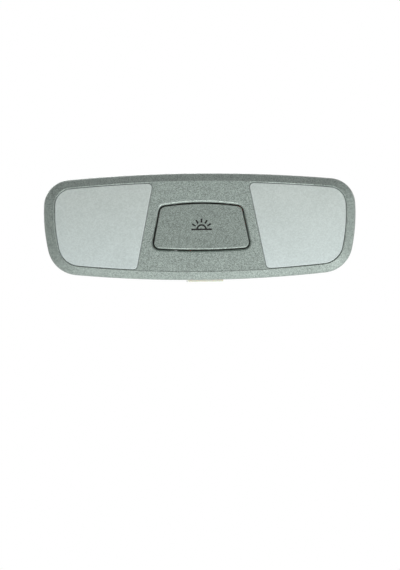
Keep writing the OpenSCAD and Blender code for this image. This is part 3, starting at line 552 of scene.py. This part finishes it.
def addPiece(made, name, node, finish, innerFinish=None, isInner=None):
    mesh = bpy.data.meshes.new(name)
    mesh.materials.append(finish)
    if innerFinish:
        mesh.materials.append(innerFinish)
        for face in made.faces:
            face.material_index = int(isInner(face))
    made.to_mesh(mesh)
    made.free()
    mesh.shade_smooth()
    mesh.set_sharp_from_angle(angle=math.radians(rounding["smoothTo"]))
    piece = bpy.data.objects.new(name, mesh)
    bpy.context.scene.collection.objects.link(piece)
    weighted = piece.modifiers.new("even shading", "WEIGHTED_NORMAL")
    weighted.keep_sharp = True
    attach(piece, bodyOf[node])
    return piece


def roundedPiece(node, shape, innerFinish=None, isInner=None):
    look = dict(rounding, **shape)
    piece = addPiece(roundEdges(node, look), look["name"], node, finishes[slotOf[node]], innerFinish, isInner)
    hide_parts(node)
    print("piece", look["name"], len(piece.data.polygons), "faces")
    return piece


# Bezel: painted outside, bare dark plastic inside

bezelShape = {"name": "painted_bezel", "edge": 0.3, "steps": 3, "merge": 0.03, "skin": 1.4, "paintFrom": 7.6,
              "rearFacing": 0.15, "inwardFacing": -0.2, "slopeFacing": -0.5, "lengthShare": 0.3}


def isInsideBezel(face):
    # The sloped edge round the button is painted, and the wall above it isn't
    middle, normal = face.calc_center_median() / mm, face.normal
    outward = normal.dot(Vector((middle.x * bezelShape["lengthShare"], middle.y, 0)))
    isRear = normal.z > bezelShape["rearFacing"] and middle.z < -bezelShape["skin"]
    isWall = outward < bezelShape["inwardFacing"] and normal.z > bezelShape["slopeFacing"]
    return isRear or (isWall and middle.z > -bezelShape["paintFrom"])


roundedPiece("bezel", bezelShape, insideAndShadeFinish, isInsideBezel)


# Push button and its printed half-sun mark

buttonShape = {"name": "painted_button", "edge": 0.6, "steps": 5, "merge": 0.09}
button = roundedPiece("switch_button", buttonShape)
markShape = {"centre": (0.1, 2.1), "halfLine": 6.8, "radius": 2.95, "stroke": 1.1, "thickness": 0.02,
             "rayInner": 4.5, "rayOuter": 7.2, "rayAngles": (31, 59, 90, 120, 150),
             "arcFrom": 8, "arcSweep": 164, "arcSteps": 24, "seenFrom": -20.0}


def surfaceUnder(piece, fromZ, upward):
    made = bmesh.new()
    made.from_mesh(piece.data)
    tree = BVHTree.FromBMesh(made)
    made.free()

    def heightAt(x, y):
        hit = tree.ray_cast(Vector((x, y, fromZ)) * mm, Vector((0, 0, 1 if upward else -1)))
        return hit[0].z / mm
    return heightAt


def addStrokes(name, node, strokes, heightAt, lift, finish):
    # Thin plates on a surface: each stroke is a closed outline in millimetres
    made = bmesh.new()
    for outline in strokes:
        rings = []
        for level in (0.0, lift):
            rings.append([made.verts.new(Vector((x, y, heightAt(x, y) + level)) * mm) for x, y in outline])
        count = len(outline)
        for index in range(count):
            following = (index + 1) % count
            made.faces.new((rings[0][index], rings[0][following], rings[1][following], rings[1][index]))
        made.faces.new(rings[1])
        made.faces.new(rings[0][::-1])
    bmesh.ops.triangulate(made, faces=[face for face in made.faces if len(face.verts) > 4])
    bmesh.ops.recalc_face_normals(made, faces=made.faces)
    addPiece(made, name, node, finish)


def polar(centre, radius, degrees):
    angle = math.radians(degrees)
    return centre[0] + radius * math.cos(angle), centre[1] - radius * math.sin(angle)


def rayOutline(centre, inner, outer, degrees, width):
    sideways = math.radians(degrees + 90)
    shift = (width / 2 * math.cos(sideways), -width / 2 * math.sin(sideways))
    ends = [polar(centre, inner, degrees), polar(centre, outer, degrees)]
    return ([(x + shift[0], y + shift[1]) for x, y in ends]
            + [(x - shift[0], y - shift[1]) for x, y in reversed(ends)])


def halfSun(shape):
    centre, half = shape["centre"], shape["stroke"] / 2
    left, right = centre[0] - shape["halfLine"], centre[0] + shape["halfLine"]
    line = [(left, centre[1] - half), (right, centre[1] - half),
            (right, centre[1] + half), (left, centre[1] + half)]
    steps = shape["arcSteps"]
    angles = [shape["arcFrom"] + shape["arcSweep"] * index / steps for index in range(steps + 1)]
    arch = ([polar(centre, shape["radius"] + half, angle) for angle in angles]
            + [polar(centre, shape["radius"] - half, angle) for angle in reversed(angles)])
    rays = [rayOutline(centre, shape["rayInner"], shape["rayOuter"], angle, shape["stroke"])
            for angle in shape["rayAngles"]]
    return [line, arch] + rays


addStrokes("printed_half_sun", "switch_button", halfSun(markShape),
           surfaceUnder(button, markShape["seenFrom"], upward=True), -markShape["thickness"], inkFinish)
print("button ready")


# Lenses: frosted outside, and their back faces dark as painted shade of the lamp chamber

lensShape = {"edge": 0.45, "steps": 3, "merge": 0.06, "rearFacing": 0.5}


# Back faces get the dark finish: painted shade of the chamber
def isShadedBehindLens(face):
    return face.normal.z > lensShape["rearFacing"]


for side in ("left", "right"):
    roundedPiece(side + "_lens", dict(lensShape, name="frosted_" + side + "_lens"), insideAndShadeFinish,
                 isShadedBehindLens)


# Tray with its plug socket, and the moulder's date dial

trayShape = {"name": "moulded_tray", "edge": 0.17}
tray = roundedPiece("housing", trayShape)
dialShape = {"centre": (-9.5, -2.6), "inner": 3.0, "outer": 4.2, "stroke": 0.36, "ticks": 12, "lift": 0.15,
             "pointer": 1.9, "pointerAngle": 60, "seenFrom": 9.5}


def dateDial(shape):
    centre, stroke = shape["centre"], shape["stroke"]
    ticks = [rayOutline(centre, shape["inner"], shape["outer"], 360 * index / shape["ticks"], stroke)
             for index in range(shape["ticks"])]
    pointer = rayOutline(centre, -shape["pointer"], shape["pointer"], shape["pointerAngle"], stroke)
    return ticks + [pointer]


# The dial's strokes are dark plates: painted shade of the dial's marks
addStrokes("date_dial", "housing", dateDial(dialShape),
           surfaceUnder(tray, dialShape["seenFrom"], upward=False), dialShape["lift"], dialShadeFinish)
print("tray ready")


# Lead frame, bulb clips, bulbs and switch

smallEdges = {
    "left_feed_strip": 0.1, "switch_loop_strip": 0.1, "right_switch_plate": 0.1, "right_feed_strip": 0.1,
    "earth_strip": 0.1, "door_strip": 0.1,
    "left_bulb_feed_cap": 0.07, "left_bulb_earth_cap": 0.07, "right_bulb_feed_cap": 0.07,
    "right_bulb_earth_cap": 0.07, "left_bulb_glass": 0.05, "right_bulb_glass": 0.05,
    "left_bulb_filament": 0.02, "right_bulb_filament": 0.02,
    "switch_base": 0.15, "contact_bridge": 0.08, "plunger": 0.15, "return_spring": 0.02,
}
for node, width in smallEdges.items():
    roundedPiece(node, {"name": "dressed_" + node, "edge": width})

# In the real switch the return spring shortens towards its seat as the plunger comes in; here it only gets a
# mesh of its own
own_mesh(bpy.data.objects["dressed_return_spring"])

clipShape = {"edge": 0.08, "baseFrom": 10.6}


def isClipBase(face):
    return abs(face.calc_center_median().y / mm) > clipShape["baseFrom"]


for node in ("left_feed_clip", "left_earth_clip", "right_feed_clip", "right_earth_clip"):
    roundedPiece(node, dict(clipShape, name="sprung_" + node), finishes["strip_metal"], isClipBase)
print("pieces ready")


# Studio: pale floor far below, soft lamps, white background. Metres and watts

studio = {"floorColour": (0.8, 0.8, 0.79, 1), "floorRoughness": 0.7, "floorPaleness": 0.55,
          "floorHalf": 30.0, "floorDepth": 1.6, "skyStrength": 0.36}
lamps = (
    {"name": "low from the lower right", "place": (0.4, 0.36, -0.25), "size": (0.22, 0.22), "power": 0.9},
    {"name": "soft from the plug side", "place": (0.15, 0.45, -0.45), "size": (0.5, 0.3), "power": 4.8},
    {"name": "soft from above", "place": (-0.3, -0.5, 1.1), "size": (1.0, 1.0), "power": 12.0},
)


def seenAsItIs(tree):
    # 1 for the rays that go to the camera, straight, off metal or through glass
    path = addNode(tree, "ShaderNodeLightPath", (-600, 300))
    seen = addMath(tree, "MAXIMUM", (-300, 300), path.outputs["Is Camera Ray"], path.outputs["Is Glossy Ray"])
    return addMath(tree, "MAXIMUM", (-100, 300), seen, path.outputs["Is Transmission Ray"])


def mixShaders(tree, factor, first, second, end):
    mix = addNode(tree, "ShaderNodeMixShader", (200, 0),
                  {0: factor, 1: first.outputs[0], 2: second.outputs[0]})
    tree.links.new(mix.outputs[0], tree.nodes[end].inputs["Surface"])


def addFloor():
    material, tree, shader = newMaterial(
        "pale floor", {"Base Color": studio["floorColour"], "Roughness": studio["floorRoughness"]})
    pale = addNode(tree, "ShaderNodeEmission", (0, -600), {"Color": white, "Strength": 1.0})
    share = addMath(tree, "MULTIPLY", (50, 300), seenAsItIs(tree), studio["floorPaleness"])
    mixShaders(tree, share, shader, pale, "Material Output")
    made = bmesh.new()
    bmesh.ops.create_grid(made, x_segments=1, y_segments=1, size=studio["floorHalf"])
    mesh = bpy.data.meshes.new("floor")
    made.to_mesh(mesh)
    made.free()
    mesh.materials.append(material)
    floor = bpy.data.objects.new("floor", mesh)
    floor.location = (0, 0, -studio["floorDepth"])
    bpy.context.scene.collection.objects.link(floor)


def addSky():
    world = bpy.data.worlds.new("studio")
    bpy.context.scene.world = world
    world.use_nodes = True
    tree = world.node_tree
    soft = tree.nodes["Background"]
    soft.inputs["Color"].default_value = white
    soft.inputs["Strength"].default_value = studio["skyStrength"]
    bright = addNode(tree, "ShaderNodeBackground", (0, -200), {"Color": white, "Strength": 1.0})
    mixShaders(tree, seenAsItIs(tree), soft, bright, "World Output")


def addLamp(name, place, size, power):
    light = bpy.data.lights.new(name, "AREA")
    light.shape = "RECTANGLE"
    light.size, light.size_y = size
    light.energy = power
    lamp = bpy.data.objects.new(name, light)
    lamp.location = place
    lamp.rotation_mode = "QUATERNION"
    lamp.rotation_quaternion = (-Vector(place)).to_track_quat("-Z", "Y")
    bpy.context.scene.collection.objects.link(lamp)


addFloor()
addSky()
for lamp in lamps:
    addLamp(**lamp)
print("studio ready")


# Camera: the photograph's upper view, straight at the lit face. Pixels, degrees and millimetres

photo = {"width": 400, "height": 570, "centreRow": 226.7, "centreColumn": 200.5, "scale": 2 / 3,
         "lens": 120.0, "sensor": 36.0, "fromLeft": -4.0, "fromPlug": 2.0, "roll": 0.66}
clipFrom, clipTo = 0.05, 20.0


def addCamera():
    data = bpy.data.cameras.new("front view")
    data.sensor_width = photo["sensor"]
    data.lens = photo["lens"]
    data.clip_start, data.clip_end = clipFrom, clipTo
    data.shift_x = (photo["width"] / 2 - photo["centreColumn"]) / photo["height"]
    data.shift_y = (photo["centreRow"] - photo["height"] / 2) / photo["height"]
    camera = bpy.data.objects.new("front view", data)
    distance = photo["height"] * photo["scale"] * mm * data.lens / data.sensor_width
    back = Vector((math.tan(math.radians(photo["fromLeft"])), math.tan(math.radians(photo["fromPlug"])), -1))
    back.normalize()
    camera.location = back * distance
    right = back.cross(Vector((0, 1, 0))).normalized()  # so the picture's upper edge is the hinge side
    level = Matrix((right, back.cross(right), back)).transposed()
    roll = Matrix.Rotation(-math.radians(photo["roll"]), 3, "Z")
    camera.rotation_mode = "QUATERNION"
    camera.rotation_quaternion = (level @ roll).to_quaternion()
    bpy.context.scene.collection.objects.link(camera)
    bpy.context.scene.camera = camera


addCamera()
bpy.context.scene.view_settings.view_transform = "Standard"
